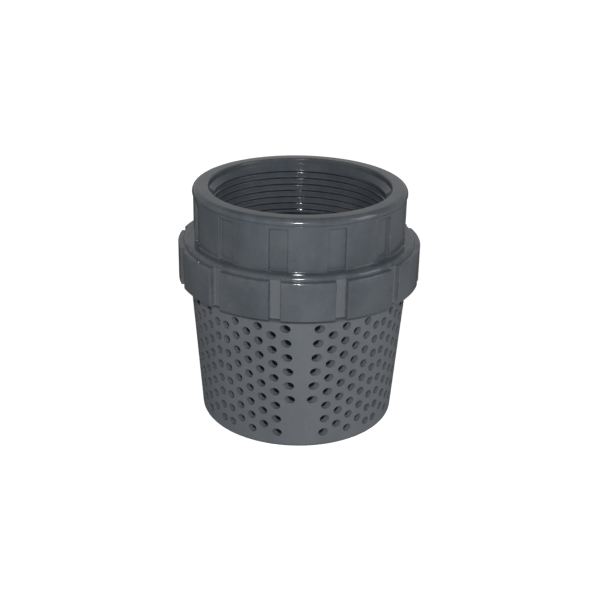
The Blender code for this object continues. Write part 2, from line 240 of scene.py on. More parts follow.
class Surface:
    """Rings of points, joined by faces, for a mesh that goes round the Z axis."""

    def __init__(self):
        self.points = []
        # Marks of each point: worn edges, flute floors, and where shade is painted
        self.marks = {"edge": [], "flute": [], "painted_shade": []}
        self.faces = []

    def ring(self, headings, r, z, edge=0.0, flute=0.0, painted_shade=0.0):
        """Adds points at these headings and returns their numbers. The rest are numbers or arrays."""
        turn = np.radians(headings)
        first = len(self.points)
        r, z, edge, flute, painted_shade = (np.broadcast_to(v, turn.shape) for v in (r, z, edge, flute, painted_shade))
        self.points += list(zip(r * np.sin(turn), -r * np.cos(turn), z))
        self.marks["edge"] += list(edge)
        self.marks["flute"] += list(flute)
        self.marks["painted_shade"] += list(painted_shade)
        return list(range(first, first + len(turn)))

    def join(self, upper, lower, closed=True):
        """Four-sided faces between two rings of as many points."""
        count = len(upper)
        for i in range(count if closed else count - 1):
            j = (i + 1) % count
            self.faces.append((upper[i], upper[j], lower[j], lower[i]))

    def join_all(self, rings):
        """Faces between each ring and the next."""
        for upper, lower in zip(rings, rings[1:]):
            self.join(upper, lower)

    def stitch(self, first, first_headings, second, second_headings):
        """Triangles between two closed rings with different numbers of points."""
        i = j = 0
        first_ends = [*first_headings[1:], 360.0 + first_headings[0]]
        second_ends = [*second_headings[1:], 360.0 + second_headings[0]]
        while i < len(first) or j < len(second):
            here, there = first[i % len(first)], second[j % len(second)]
            if j == len(second) or (i < len(first) and first_ends[i] <= second_ends[j]):
                i += 1
                self.faces.append((here, first[i % len(first)], there))
            else:
                j += 1
                self.faces.append((here, second[j % len(second)], there))

    def made(self, name):
        """The surface as an object, with its marks as attributes of its points."""
        mesh = bmesh.new()
        layers = [mesh.verts.layers.float.new(mark) for mark in self.marks]
        for point, *marks in zip(self.points, *self.marks.values()):
            vertex = mesh.verts.new(point)
            for layer, mark in zip(layers, marks):
                vertex[layer] = mark
        mesh.verts.ensure_lookup_table()
        for face in self.faces:
            mesh.faces.new([mesh.verts[i] for i in face])
        bmesh.ops.remove_doubles(mesh, verts=mesh.verts, dist=0.002 * MM)
        bmesh.ops.recalc_face_normals(mesh, faces=mesh.faces)
        return from_bmesh(name, mesh)


def from_bmesh(name, mesh):
    data = bpy.data.meshes.new(name)
    mesh.to_mesh(data)
    mesh.free()
    obj = bpy.data.objects.new(name, data)
    bpy.context.scene.collection.objects.link(obj)
    return obj


def all_round(count):
    """Evenly spaced headings."""
    return np.arange(count) * 360.0 / count


def turned(name, profile, closed=True, steps=96):
    """A profile of (radius, height) points turned about Z. An open one starts and ends on the axis."""
    headings = all_round(steps)
    surface = Surface()
    rings = [surface.ring(headings, r, z) for r, z in profile]
    surface.join_all(rings)
    if closed:
        surface.join(rings[-1], rings[0])
    return surface.made(name)


def applied(obj):
    """Turns the object's modifiers into its own mesh."""
    depsgraph = bpy.context.evaluated_depsgraph_get()
    mesh = bpy.data.meshes.new_from_object(obj.evaluated_get(depsgraph))
    obj.modifiers.clear()
    obj.data = mesh
    return obj


def boolean(obj, tool, operation="DIFFERENCE"):
    modifier = obj.modifiers.new("boolean", "BOOLEAN")
    modifier.operation = operation
    modifier.solver = "EXACT"
    modifier.object = tool
    applied(obj)
    bpy.data.objects.remove(tool)
    return obj


def prism(mesh, r, length, place, sides):
    bmesh.ops.create_cone(mesh, cap_ends=True, segments=sides, radius1=r, radius2=r, depth=length,
                          matrix=place)


def rounded_bars(name, bars, offset, segments):
    """Bars as one object, with their long edges rounded."""
    long_edges = [e for e in bars.edges if e.calc_length() > 8 * MM]
    bmesh.ops.bevel(bars, geom=long_edges, offset=offset, segments=segments, profile=0.5, affect="EDGES")
    return from_bmesh(name, bars)


def heading(degrees):
    return Matrix.Rotation(math.radians(degrees), 4, "Z")


def piece(obj, body, node, material, sharp=32):
    """Finishes a piece: its shading and material, the body it rides on and the CAD node it replaces."""
    obj.data.materials.clear()
    obj.data.materials.append(material)
    obj.data.shade_smooth()
    obj.data.set_sharp_from_angle(angle=math.radians(sharp))
    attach(obj, body)
    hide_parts(node)
    return obj


# Threads


def thread_groove():
    """One pitch of the pipe thread, (height above the groove's middle, radius), from crest to crest."""
    half_root = THREAD_ROOT_FLAT / 2
    half_mouth = half_root + (THREAD_ROOT_R - THREAD_CREST_R) * math.tan(FLANK_ANGLE)
    top = [(PITCH / 2, THREAD_CREST_R, 0), (half_mouth, THREAD_CREST_R, 0.12 * MM),
           (half_root, THREAD_ROOT_R, 0.2 * MM)]
    low = [(-z, r, fillet) for z, r, fillet in reversed(top)]
    return rounded(top + low, closed=False, steps=3)


def stem_groove():
    """One pitch of the stem's M6 thread, from crest to crest."""
    crest, root = STEM_R, STEM_R - 0.6 * STEM_PITCH
    top = [(STEM_PITCH / 2, crest, 0), (0.43 * STEM_PITCH, crest, 0), (0.1 * STEM_PITCH, root, 0)]
    return [(z, r) for z, r, _ in top] + [(-z, r) for z, r, _ in reversed(top)]


def helix(surface, groove, pitch, high, top, low, base, columns, inward=False, fade=None):
    """A threaded band between the heights top and low, and its rings of points at the two ends.

    high is the height of the first groove's middle at heading 360, from where it falls one pitch a turn to
    heading 0. Every row of points follows the helix, so the column at heading 360 meets the one at heading 0.
    top gives the upper height at each heading, and base the plain wall's radius at each height. fade gives
    how deep the groove is after a number of turns. The grooves' upper flanks are marked for painted shade.
    """
    headings = np.linspace(0.0, 360.0, columns + 1)
    middle = high - pitch * (1 - headings / 360.0)
    edge_r = groove[0][1]
    turns = math.ceil((high - low) / pitch) + 2
    upper = surface.ring(headings, base(top), top)
    first = upper
    for turn in range(-1, turns):
        after = turn + 1 - headings / 360.0
        depth = fade(after) if fade else np.ones_like(after)
        for rise, r in groove[:-1]:
            z = np.clip(middle - turn * pitch + rise, low, top)
            cut = edge_r + (r - edge_r) * depth
            plain = base(z)
            clipped = (z >= top) | (z <= low)
            wall = np.minimum(plain, cut) if inward else np.maximum(plain, cut)
            # Painted shade under each crest, standing in for the shadow on the grooves' upper flanks
            under_crest = np.clip((wall - edge_r) / (0.6 * MM), 0.0, 1.0) * (rise > 0)
            radius = np.where(clipped, plain, wall)
            lower = surface.ring(headings, radius, z, painted_shade=under_crest * ~clipped)
            surface.join(upper, lower, closed=False)
            upper = lower
    return first[:-1], upper[:-1]


# Housing


def flute_headings(socket_side, ring_side):
    """Headings of the housing's columns of points: close at the sides of the flutes, and wider between."""
    sector = 360.0 / FLUTES
    offsets = {0.0, 1.0, 3.6, *np.linspace(6.5, sector / 2, 7)}  # from the middle of a flute
    for width, side, r in ((SOCKET_FLUTE_W, socket_side, SOCKET_R), (RING_FLUTE_W, ring_side, RING_R)):
        for inside in side[1:-1, 0]:
            offsets.add(math.degrees(math.asin((width / 2 - inside) / r)))
    found = set()
    for k in range(FLUTES):
        for offset in offsets:
            for sign in (-1, 1):
                found.add(round((FLUTE_PHASE + sector * k + sign * offset) % 360.0, 5))
    return np.array(sorted(found))


def inside_flute(headings, width, r):
    """How far inside the side of the nearest flute each heading is, at radius r."""
    sector = 360.0 / FLUTES
    offset = (headings - FLUTE_PHASE + sector / 2) % sector - sector / 2
    return width / 2 - r * np.abs(np.sin(np.radians(offset)))


def socket_flute_side():
    return recess(SOCKET_FLUTE_DEPTH, 0.2 * MM, 0.2 * MM)


def outer_rows():
    """Rows (radius, height, share of the socket's flutes, share of the ring's flutes, edge), downwards."""
    flute_end = [SOCKET_FLUTE_TOP - inside for inside in socket_flute_side()[1:-1, 0]]
    rim = rounded([(LEAD_IN_R + 1.0 * MM, HEIGHT, 0), (RIM_R, HEIGHT, RIM_ROUND),
                   (RIM_R, RIM_GROOVE_Z + 0.2 * MM, 0.08 * MM),
                   (SOCKET_R - 0.15 * MM, RIM_GROOVE_Z, 0.06 * MM),
                   (SOCKET_R + 0.05 * MM, RIM_GROOVE_Z - 0.2 * MM, 0.15 * MM),
                   (SOCKET_R, SOCKET_FLUTE_TOP + 0.22 * MM, 0)], closed=False, steps=8)
    rows = [(r, z, 0, 0, float(r > RIM_R - 0.7 * RIM_ROUND and z > HEIGHT - RIM_ROUND)) for r, z in rim]
    rows += [(SOCKET_R, z, 1, 0, 0) for z in flute_end]
    wall = rounded([(SOCKET_R, flute_end[-1] - 0.5 * MM, 0), (SOCKET_R, RING_TOP, 0.4 * MM),
                    (SOCKET_R + 1.0 * MM, RING_TOP, 0)], closed=False, steps=5)
    rows += [(r, z, 1, 0, 0) for r, z in spaced(wall[:-1], 2.5 * MM)]
    rows += [(SOCKET_R + 1.1 * MM, RING_TOP, 0, 0, 0), (SOCKET_R + 1.6 * MM, RING_TOP, 0, 0, 0)]
    ring = rounded([(SOCKET_R + 2.1 * MM, RING_TOP, 0), (RING_BODY_R, RING_TOP, RING_ROUND),
                    (RING_BODY_R, PAD_TOP, 0.12 * MM), (RING_R, PAD_TOP, 0.45 * MM),
                    (RING_R, RING_BOTTOM, 0.4 * MM), (RING_R - 1.0 * MM, RING_BOTTOM, 0)],
                   closed=False, steps=7)
    rows += [(r, z, 0, 1, float(z > PAD_TOP - 0.5 * MM)) for r, z in spaced(ring[:-1], 2.5 * MM)]
    rows.append((SKIRT_BORE_R + 1.0 * MM, RING_BOTTOM, 0, 0, 0))
    return rows


def housing_outside(surface):
    """The outside's faces. Returns its headings, its top ring of points and its lowest."""
    socket_side = socket_flute_side()
    ring_side = recess(RING_FLUTE_DEPTH, 0.4 * MM, 0.35 * MM)
    headings = flute_headings(socket_side, ring_side)
    in_socket = inside_flute(headings, SOCKET_FLUTE_W, SOCKET_R)
    in_ring = inside_flute(headings, RING_FLUTE_W, RING_R)
    rings = []
    for r, z, socket, ring, edge in outer_rows():
        inside = np.minimum(in_socket, SOCKET_FLUTE_TOP - z)
        depth = socket * np.interp(inside, *socket_side.T)
        if ring:
            depth = r - np.minimum(r, RING_R - np.interp(in_ring, *ring_side.T))
        mouth = socket * np.exp(-(inside / (0.2 * MM)) ** 2)
        mouth = mouth + ring * np.exp(-(in_ring / (0.3 * MM)) ** 2)
        # Share of a flute's floor, which the material paints paler: partly a paler, duller finish, partly
        # painted light in place of the flash that fills the flutes
        floor = 0.3 * socket * depth / SOCKET_FLUTE_DEPTH + ring * (z < PAD_TOP) * depth / RING_FLUTE_DEPTH
        edges = np.maximum(edge * (depth < 0.3 * MM), mouth)
        rings.append(surface.ring(headings, r - depth, z, edges, floor ** 2))
    surface.join_all(rings)
    return headings, rings[0], rings[-1]


def socket_wall(z):
    """Radius of the socket's bore without its thread, at each height."""
    cone_top = CHAMBER_TOP + CHAMBER_R - THREAD_CREST_R
    heights = [CHAMBER_TOP, cone_top, LEAD_IN_FOOT, LEAD_IN_TOP]
    return np.interp(z, heights, [CHAMBER_R, THREAD_CREST_R, THREAD_CREST_R, LEAD_IN_R])


def groove_start(turns):
    """The first 25 degrees of the pipe thread's groove grow to its full depth."""
    share = np.clip(turns / 0.07, 0.0, 1.0)
    return share * share * (3 - 2 * share)


def lead_in_foot(groove, high, columns):
    """Height, at each heading, where the wall or the first groove cuts the lead-in cone's lower end."""
    found = []
    for turned_by in np.linspace(0.0, 1.0, columns + 1):
        middle = high - PITCH * (1 - turned_by)
        depth = groove_start(1 - turned_by)
        z = np.linspace(LEAD_IN_FOOT, LEAD_IN_TOP, 200)
        rises, radii = zip(*reversed(groove))
        cut = THREAD_CREST_R + (np.interp(z - middle, rises, radii) - THREAD_CREST_R) * depth
        over = np.nonzero(cut > socket_wall(z) + 0.001 * MM)[0]
        found.append(z[over[-1]] if len(over) else LEAD_IN_FOOT)
    return np.array(found)


def housing_inside(surface):
    """The inside's faces. Returns its headings, its top ring of points and its lowest."""
    columns = 180
    headings = all_round(columns)
    groove = thread_groove()
    high = THREAD_TOP_BACK + PITCH / 2
    foot = lead_in_foot(groove, high, columns)
    lip = rounded([(LEAD_IN_R + 0.7 * MM, HEIGHT, 0), (LEAD_IN_R, HEIGHT, 0.6 * MM),
                   (LEAD_IN_R, LEAD_IN_TOP, 0.15 * MM), (THREAD_CREST_R, LEAD_IN_FOOT, 0)],
                  closed=False, steps=6)[:-1]
    rings = [surface.ring(headings, r, z) for r, z in lip]
    low = CHAMBER_TOP + 2.0 * MM
    top, bottom = helix(surface, groove, PITCH, high, foot, low, socket_wall, columns, fade=groove_start)
    below = rounded([(CHAMBER_R - 1.9 * MM, CHAMBER_TOP + 1.9 * MM, 0), (CHAMBER_R, CHAMBER_TOP, 0.3 * MM),
                     (CHAMBER_R, SHOULDER_Z, 0.1 * MM), (SKIRT_BORE_R, SHOULDER_Z, 0.2 * MM),
                     (SKIRT_BORE_R, BEAD_Z + 0.8 * MM, 0.1 * MM), (BEAD_R + GAP, BEAD_Z + 0.8 * MM, 0.1 * MM),
                     (BEAD_R + GAP, BEAD_Z - 0.8 * MM, 0.1 * MM), (SKIRT_BORE_R, BEAD_Z - 0.8 * MM, 0.1 * MM),
                     (SKIRT_BORE_R, RING_BOTTOM, 0.3 * MM), (SKIRT_BORE_R + 0.9 * MM, RING_BOTTOM, 0)],
                    closed=False, steps=3)[1:-1]
    under = [surface.ring(headings, r, z) for r, z in below]
    surface.join_all(rings + [top])
    surface.join_all([bottom] + under)
    return headings, rings[0], under[-1]


def make_housing(material):
    surface = Surface()
    outer_headings, outer_top, outer_low = housing_outside(surface)
    inner_headings, inner_top, inner_low = housing_inside(surface)
    surface.stitch(outer_top, outer_headings, inner_top, inner_headings)
    surface.stitch(outer_low, outer_headings, inner_low, inner_headings)
    return piece(surface.made("housing_shell"), BODY, "housing", material, sharp=38)


# Strainer basket


def basket_r(z):
    """Outer radius of the basket's tapered wall."""
    part = (z - BASKET_ROUND) / (RING_BOTTOM - GAP - BASKET_ROUND)
    return BASKET_FOOT_R + (BASKET_TOP_R - BASKET_FOOT_R) * part


def basket_profile():
    """From the axis, along the inside to the plug's top and down the outside to the axis."""
    shoulder = RING_BOTTOM - GAP
    top = FLANGE_BOTTOM - GAP
    bore = basket_r(shoulder) - BASKET_WALL
    inner_foot = basket_r(BASKET_ROUND) - BASKET_WALL
    corners = [(0, BASKET_FLOOR, 0), (inner_foot, BASKET_FLOOR, 1.2 * MM),
               (bore, shoulder - 1.0 * MM, 0.5 * MM), (PLUG_R - BASKET_WALL, top, 0.2 * MM),
               (PLUG_R, top, 0.3 * MM), (PLUG_R, BEAD_Z + 0.7 * MM, 0.1 * MM),
               (BEAD_R, BEAD_Z + 0.2 * MM, 0.15 * MM), (BEAD_R, BEAD_Z - 0.2 * MM, 0.15 * MM),
               (PLUG_R, BEAD_Z - 0.7 * MM, 0.1 * MM), (PLUG_R, shoulder, 0.1 * MM),
               (basket_r(shoulder), shoulder, 0.2 * MM), (basket_r(0.0), 0, BASKET_ROUND), (0, 0, 0)]
    return rounded(corners, closed=False, steps=6)


def wall_holes(quadrants):
    """The strainer holes of these quadrants, each cut along its own quadrant's direction."""
    mesh = bmesh.new()
    for quadrant in quadrants:
        turn = heading(SEAM_TURN + 45.0 + 90.0 * quadrant)
        for column in range(HOLE_COLUMNS):
            from_seam = min(column, HOLE_COLUMNS - 1 - column)
            rows = HOLE_SEAM_ROWS if from_seam == 0 else HOLE_ROWS
            x = (column - (HOLE_COLUMNS - 1) / 2) * HOLE_COLUMN_STEP
            drop = HOLE_ROW_STEP / 2 if from_seam % 2 else 0.0
            top = HOLE_TOP - drop + (HOLE_BACK_RISE if quadrant in (1, 2) else 0.0)
            for row in range(rows):
                z = top - HOLE_ROW_STEP * row
                y = math.sqrt(basket_r(z) ** 2 - x ** 2)
                outwards = Matrix.Translation((x, -y + 1.5 * MM, z)) @ Matrix.Rotation(math.pi / 2, 4, "X")
                prism(mesh, HOLE_R, 9.0 * MM, turn @ outwards, 24)
    return from_bmesh("wall_holes", mesh)


def floor_holes():
    """The holes in the strainer's floor, in rings."""
    mesh = bmesh.new()
    for radius, count in FLOOR_HOLE_RINGS:
        for i in range(count):
            place = heading(360.0 / count * i) @ Matrix.Translation((0, -radius, BASKET_FLOOR / 2))
            prism(mesh, HOLE_R, 3 * BASKET_FLOOR, place, 24)
    return from_bmesh("floor_holes", mesh)


def make_basket(material):
    """The basket, cut by opposite quadrants together, as the prisms of neighbouring ones cross."""
    basket = turned("basket_shell", basket_profile(), closed=False, steps=216)
    for tool in (wall_holes((0, 2)), wall_holes((1, 3)), floor_holes()):
        boolean(basket, tool)
    return piece(basket, BODY, "strainer_basket", material, sharp=40)


# Seat carrier and what is fixed to it


def make_carrier(material):
    gland = (O_RING_R - 1.2 * MM, O_RING_R + 1.2 * MM)
    floor = FLANGE_TOP - GLAND_DEPTH
    corners = [(SEAT_LIP_R, SEAT_TOP, 0.2 * MM), (SEAT_TUBE_R, FLANGE_TOP, 0.2 * MM),
               (gland[0], FLANGE_TOP, 0.1 * MM), (gland[0], floor, 0.2 * MM),
               (gland[1], floor, 0.2 * MM), (gland[1], FLANGE_TOP, 0.1 * MM),
               (PLUG_R, FLANGE_TOP, 0.2 * MM), (PLUG_R, FLANGE_BOTTOM, 0.3 * MM),
               (SEAT_TUBE_R, FLANGE_BOTTOM, 0.6 * MM), (SEAT_TUBE_R, SEAT_TUBE_BOTTOM, 0.5 * MM),
               (SEAT_BORE_R, SEAT_TUBE_BOTTOM, 0.5 * MM), (SEAT_BORE_R, SEAT_TOP, 0.4 * MM)]
    carrier = turned("carrier_moulding", rounded(corners), steps=144)
    hub = turned("hub", rounded([(HUB_R, HUB_TOP, 0.3 * MM), (HUB_R, HUB_BOTTOM, 0.5 * MM),
                                 (HUB_BORE_R, HUB_BOTTOM, 0.1 * MM), (HUB_BORE_R, HUB_TOP, 0.1 * MM)]))
    inner = (HUB_R + HUB_BORE_R) / 2
    outer = (SEAT_BORE_R + SEAT_TUBE_R) / 2
    arms = bmesh.new()
    size = Matrix.Diagonal((ARM_W, outer - inner, ARM_TOP - ARM_BOTTOM, 1.0))
    for i in range(ARMS):
        middle = Matrix.Translation((0, -(inner + outer) / 2, (ARM_TOP + ARM_BOTTOM) / 2))
        bmesh.ops.create_cube(arms, size=1.0, matrix=heading(360.0 / ARMS * i) @ middle @ size)
    boolean(carrier, rounded_bars("arms", arms, 0.7 * MM, 4), "UNION")
    boolean(carrier, hub, "UNION")
    return piece(carrier, BODY, "seat_carrier", material)


def make_o_ring(material):
    middle = FLANGE_TOP - O_RING_WIRE
    section = [(O_RING_R + O_RING_WIRE * math.cos(a), middle - O_RING_WIRE * math.sin(a))
               for a in np.linspace(0, 2 * math.pi, 20, endpoint=False)]
    return piece(turned("flange_o_ring", section, steps=128), BODY, "carrier_o_ring", material)


def make_bush(material):
    low = HUB_TOP + GAP
    top = low + BUSH_FLANGE
    end = HUB_BOTTOM + GAP
    corners = [(BUSH_FLANGE_R, top, 0.25 * MM), (BUSH_FLANGE_R, low, 0.15 * MM), (BUSH_R, low, 0.1 * MM),
               (BUSH_R, end, 0.4 * MM), (BUSH_BORE_R, end, 0.25 * MM), (BUSH_BORE_R, top, 0.25 * MM)]
    return piece(turned("stem_bush", rounded(corners)), BODY, "guide_bush", material)


# Poppet


SEAL_LOW = SEAT_TOP + GAP
DISC_LOW = SEAL_LOW + SEAL_H + GAP
WASHER_LOW = DISC_LOW + DISC_H + GAP
TOP_NUT_LOW = WASHER_LOW + WASHER_H + GAP
PLATE_LOW = SEAL_LOW - GAP - PLATE_H
COLLAR_LOW = PLATE_LOW - GAP - COLLAR_H
CUP_LOW = CUP_TOP - CUP_H
STEM_NUT_LOW = CUP_LOW - GAP - NUT_H
LOCK_NUT_LOW = STEM_NUT_LOW - GAP - NUT_H


def stem_end(z):
    """Radius of the stem before its threads are cut: its two ends are chamfered."""
    chamfer = 0.6 * MM
    heights = [STEM_BOTTOM, STEM_BOTTOM + chamfer, STEM_TOP - chamfer, STEM_TOP]
    return np.interp(z, heights, [STEM_R - chamfer, STEM_R, STEM_R, STEM_R - chamfer])


def make_stem(material):
    columns = 48
    headings = all_round(columns)
    surface = Surface()
    collar_top = COLLAR_LOW + COLLAR_H

    def threaded(high, low):
        return helix(surface, stem_groove(), STEM_PITCH, high, np.full(columns + 1, high), low, stem_end,
                     columns, inward=True)

    top, under_top = threaded(STEM_TOP, collar_top + STEM_PLAIN)
    over_low, bottom = threaded(CUP_LOW - 0.1 * MM, STEM_BOTTOM)
    plain = rounded([(STEM_R, collar_top + 1 * MM, 0), (STEM_R, collar_top, 0.1 * MM),
                     (COLLAR_R, collar_top, 0.2 * MM), (COLLAR_R, COLLAR_LOW, 0.2 * MM),
                     (STEM_R, COLLAR_LOW, 0.3 * MM), (STEM_R, COLLAR_LOW - 2 * MM, 0)], closed=False)
    cap = surface.ring(headings, 0.0, STEM_TOP)
    foot = surface.ring(headings, 0.0, STEM_BOTTOM)
    shank = [under_top] + [surface.ring(headings, r, z) for r, z in plain] + [over_low]
    for chain in ([cap, top], shank, [bottom, foot]):
        surface.join_all(chain)
    return piece(surface.made("stem_rod"), POPPET, "valve_stem", material, sharp=28)


def make_disc(material):
    top = DISC_LOW + DISC_H
    thin = DISC_LOW + DISC_H - DISC_LIP
    corners = [(DISC_HUB_R, top, 0.2 * MM), (DISC_HUB_R + 0.2 * MM, thin, 0.2 * MM),
               (DISC_R - 1.9 * MM, thin, 0.2 * MM), (DISC_R - 1.7 * MM, top, 0.2 * MM),
               (DISC_R, top, 0.4 * MM), (DISC_R, DISC_LOW, 0.3 * MM),
               (BORE_R, DISC_LOW, 0.1 * MM), (BORE_R, top, 0.2 * MM)]
    disc = turned("disc_moulding", rounded(corners), steps=144)
    ribs = bmesh.new()
    length = DISC_R - 1.2 * MM - DISC_HUB_R
    size = Matrix.Diagonal((1.3 * MM, length, DISC_LIP, 1.0))
    middle = Matrix.Translation((0, -(DISC_HUB_R - 0.6 * MM + length / 2), thin - 0.2 * MM + DISC_LIP / 2))
    for i in range(DISC_RIBS):
        turn = heading(360.0 / DISC_RIBS * (i + 0.5))
        bmesh.ops.create_cube(ribs, size=1.0, matrix=turn @ middle @ size)
    boolean(disc, rounded_bars("ribs", ribs, 0.15 * MM, 3), "UNION")
    return piece(disc, POPPET, "valve_disc", material)


def make_ring(name, r, low, height, fillet, node, material):
    """A flat ring round the stem."""
    corners = [(r, low + height, fillet), (r, low, fillet),
               (BORE_R, low, 0.1 * MM), (BORE_R, low + height, 0.1 * MM)]
    return piece(turned(name, rounded(corners), steps=128), POPPET, node, material)


def make_cup(material):
    sleeve_top = HUB_BOTTOM - LIFT
    lip = 0.9 * MM
    corners = [(CUP_R, CUP_TOP + CUP_LIP, 0.3 * MM), (CUP_R, CUP_LOW, 0.5 * MM), (BORE_R, CUP_LOW, 0.15 * MM),
               (BORE_R, sleeve_top, 0.15 * MM), (SLEEVE_R, sleeve_top, 0.2 * MM),
               (SLEEVE_R, CUP_TOP, 0.3 * MM), (CUP_R - lip, CUP_TOP, 0.3 * MM),
               (CUP_R - lip, CUP_TOP + CUP_LIP, 0.3 * MM)]
    return piece(turned("spring_seat", rounded(corners)), POPPET, "spring_cup", material)


def make_nut(name, low, node, material):
    """A hexagon nut with its corners trimmed to a cone, and a chamfered bore."""
    corner_r = NUT_ACROSS_FLATS / 2 / math.cos(math.pi / 6)
    trim = 0.5 * MM
    top = low + NUT_H
    mesh = bmesh.new()
    prism(mesh, corner_r, NUT_H, Matrix.Translation((0, 0, low + NUT_H / 2)), 6)
    nut = from_bmesh(name, mesh)
    wide = corner_r + 0.2 * MM
    narrow = NUT_ACROSS_FLATS / 2 * 0.96
    fall = math.tan(math.radians(30))
    drop = (wide - narrow) * fall
    past = narrow - trim / fall
    limit = turned("limit", [(0, top + trim), (past, top + trim), (wide, top - drop), (wide, low + drop),
                             (past, low - trim), (0, low - trim)], closed=False)
    boolean(nut, limit, "INTERSECT")
    chamfer = 0.35 * MM
    over = 0.2 * MM
    mouth = BORE_R + chamfer + over
    bore = turned("bore", [(0, top + over), (mouth, top + over), (BORE_R, top - chamfer),
                           (BORE_R, low + chamfer), (mouth, low - over), (0, low - over)], closed=False)
    boolean(nut, bore)
    return piece(nut, POPPET, node, material, sharp=20)


# Return spring


def make_spring(material):
    points_a_turn = 48
    low = CUP_TOP + GAP + WIRE_R
    high = HUB_BOTTOM - GAP - WIRE_R
    count = int(COIL_TURNS * points_a_turn)
    turns = np.arange(count + 1) / points_a_turn
    share = np.clip((turns - FLAT_TURNS) / (COIL_TURNS - 2 * FLAT_TURNS), 0.0, 1.0)
    curve = bpy.data.curves.new("coil", "CURVE")
    curve.dimensions = "3D"
    curve.bevel_depth = WIRE_R
    curve.bevel_resolution = 5
    curve.use_fill_caps = True
    spline = curve.splines.new("POLY")
    spline.points.add(count)
    for point, turn, part in zip(spline.points, turns, share):
        angle = 2 * math.pi * turn
        point.co = (COIL_R * math.cos(angle), COIL_R * math.sin(angle), low + (high - low) * part, 1.0)
    wire = bpy.data.objects.new("coil", curve)
    bpy.context.scene.collection.objects.link(wire)
    depsgraph = bpy.context.evaluated_depsgraph_get()
    mesh = bpy.data.meshes.new_from_object(wire.evaluated_get(depsgraph))
    coil = bpy.data.objects.new("coil_spring", mesh)
    bpy.context.scene.collection.objects.link(coil)
    bpy.data.objects.remove(wire)
    piece(coil, BODY, "return_spring", material)
    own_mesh(coil)


# Materials


class Nodes:
    """Short calls to add nodes to a node tree."""

    def __init__(self, tree):
        self.tree = tree

    def node(self, kind, inputs=(), **settings):
        made = self.tree.nodes.new("ShaderNode" + kind)
        for key, value in settings.items():
            setattr(made, key, value)
        for key, value in dict(inputs).items():
            self.set(made.inputs[key], value)
        return made

    def set(self, socket, value):
        if isinstance(value, bpy.types.NodeSocket):
            self.tree.links.new(value, socket)
        else:
            socket.default_value = value

    def span(self, value, low, high, to_low=0.0, to_high=1.0, smooth=False):
        """The value from low to high, mapped to the span from to_low to to_high and held at its ends."""
        inputs = {"Value": value, "From Min": low, "From Max": high, "To Min": to_low, "To Max": to_high}
        interpolation = "SMOOTHSTEP" if smooth else "LINEAR"
        return self.node("MapRange", inputs, interpolation_type=interpolation).outputs["Result"]

    def maths(self, operation, first, second):
        return self.node("Math", {0: first, 1: second}, operation=operation).outputs[0]


class Shader(Nodes):
    """A new material's node tree."""

    def __init__(self, name):
        self.material = bpy.data.materials.new(name)
        self.material.use_nodes = True
        super().__init__(self.material.node_tree)
        self.principled = self.tree.nodes["Principled BSDF"]
        self.coords = self.node("TexCoord").outputs["Object"]

    def noise(self, scale, detail=3.0, roughness=0.5, stretch=(1, 1, 1), distortion=0.0):
        coords = self.node("Mapping", {"Vector": self.coords, "Scale": stretch}).outputs[0]
        inputs = {"Vector": coords, "Scale": scale, "Detail": detail, "Roughness": roughness,
                  "Distortion": distortion}
        return self.node("TexNoise", inputs).outputs["Fac"]

    def attribute(self, name):
        return self.node("Attribute", attribute_name=name).outputs["Fac"]

    def round_axis(self):
        """Distance from the Z axis, and height."""
        split = self.node("SeparateXYZ", {0: self.coords})
        flat = self.node("CombineXYZ", {0: split.outputs["X"], 1: split.outputs["Y"], 2: 0.0}).outputs[0]
        return self.node("VectorMath", {0: flat}, operation="LENGTH").outputs["Value"], split.outputs["Z"]

    def blend(self, factor, first, second):
        colours = [(*c, 1.0) if isinstance(c, tuple) else c for c in (first, second)]
        return self.node("Mix", {0: factor, 6: colours[0], 7: colours[1]}, data_type="RGBA").outputs[2]

    def bump(self, height, distance, normal=None):
        inputs = {"Height": height, "Distance": distance, "Strength": 1.0}
        if normal:
            inputs["Normal"] = normal
        return self.node("Bump", inputs).outputs["Normal"]

    def finish(self, **inputs):
        for name, value in inputs.items():
            self.set(self.principled.inputs[name.replace("_", " ").title().replace("Ior", "IOR")], value)
        return self.material


